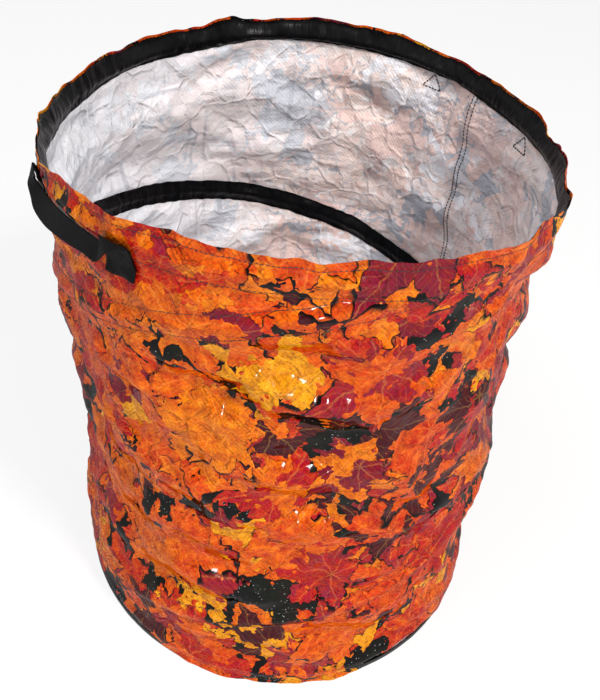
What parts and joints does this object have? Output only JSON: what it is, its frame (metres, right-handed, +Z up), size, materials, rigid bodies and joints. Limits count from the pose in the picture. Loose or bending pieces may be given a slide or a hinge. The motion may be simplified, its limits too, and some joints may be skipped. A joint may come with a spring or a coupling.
{
  "type": "pop up leaf bag",
  "caption": "Open round garden bag of laminated printed cloth that stands up on wire hoops and a wire spiral, presses flat, and is carried by webbing loops.",
  "frame": {"origin": "middle of the base panel's underside, where the bag stands on the ground", "axes": "+Z up the bag, +Y away from the viewer of the picture, +X to that viewer's right"},
  "size_m": [0.5147, 0.5035, 0.6218],
  "materials": {
    "laminated_print_cloth": "gloss-laminated tape weave, leaf print outside, white inside",
    "laminated_base_cloth": "gloss-laminated tape weave, leaf print outside, white inside",
    "black_satin_tape": "satin, puckered",
    "black_edge_binding": "matt woven",
    "bright_spring_steel": "bright drawn wire",
    "plated_crimp_sleeve": "zinc plated",
    "black_webbing": "ribbed matt webbing",
    "black_thread": "spun thread"
  },
  "bodies": {
    "base": {"base_casing": "black_satin_tape", "base_hoop": "bright_spring_steel", "base_panel": "laminated_base_cloth", "base_sleeve": "plated_crimp_sleeve", "base_stitches": "black_thread", "edge_binding": "black_edge_binding", "seam_stitches_left_lower": "black_thread", "seam_stitches_left_upper": "black_thread", "seam_stitches_right_lower": "black_thread", "seam_stitches_right_upper": "black_thread", "spiral_casing": "black_satin_tape", "spiral_spring": "bright_spring_steel", "spiral_stitches_lower": "black_thread", "spiral_stitches_upper": "black_thread", "wall_panel": "laminated_print_cloth"},
    "rim": {"rim_casing": "black_satin_tape", "rim_hoop": "bright_spring_steel", "rim_sleeve": "plated_crimp_sleeve", "rim_stitches_lower": "black_thread", "rim_stitches_upper": "black_thread", "front_handle_left_stitches": "black_thread", "front_handle_left_tail": "black_webbing", "front_handle_right_stitches": "black_thread", "front_handle_right_tail": "black_webbing", "rear_handle_left_stitches": "black_thread", "rear_handle_left_tail": "black_webbing", "rear_handle_right_stitches": "black_thread", "rear_handle_right_tail": "black_webbing"},
    "front_handle": {"front_handle_strap": "black_webbing"},
    "rear_handle": {"rear_handle_strap": "black_webbing"}
  },
  "joints": [
    {"name": "collapse", "type": "slide", "parent": "base", "child": "rim", "axis": [-0.0208, 0.002, 0.9998], "range_m": [-0.49, 0], "stiffness_N_per_m": 60, "springref_m": 0.1, "deforming": ["seam_stitches_left_lower", "seam_stitches_left_upper", "seam_stitches_right_lower", "seam_stitches_right_upper", "spiral_casing", "spiral_spring", "spiral_stitches_lower", "spiral_stitches_upper", "wall_panel"]},
    {"name": "front_handle_swing", "type": "hinge", "parent": "rim", "child": "front_handle", "pos_m": [-0.20108, -0.16037, 0.58493], "axis": [-0.6445, 0.7587, -0.0949], "range_deg": [0, 75]},
    {"name": "rear_handle_swing", "type": "hinge", "parent": "rim", "child": "rear_handle", "pos_m": [0.17694, 0.16264, 0.57319], "axis": [0.647, -0.7615, -0.0388], "range_deg": [0, 75]}
  ]
}
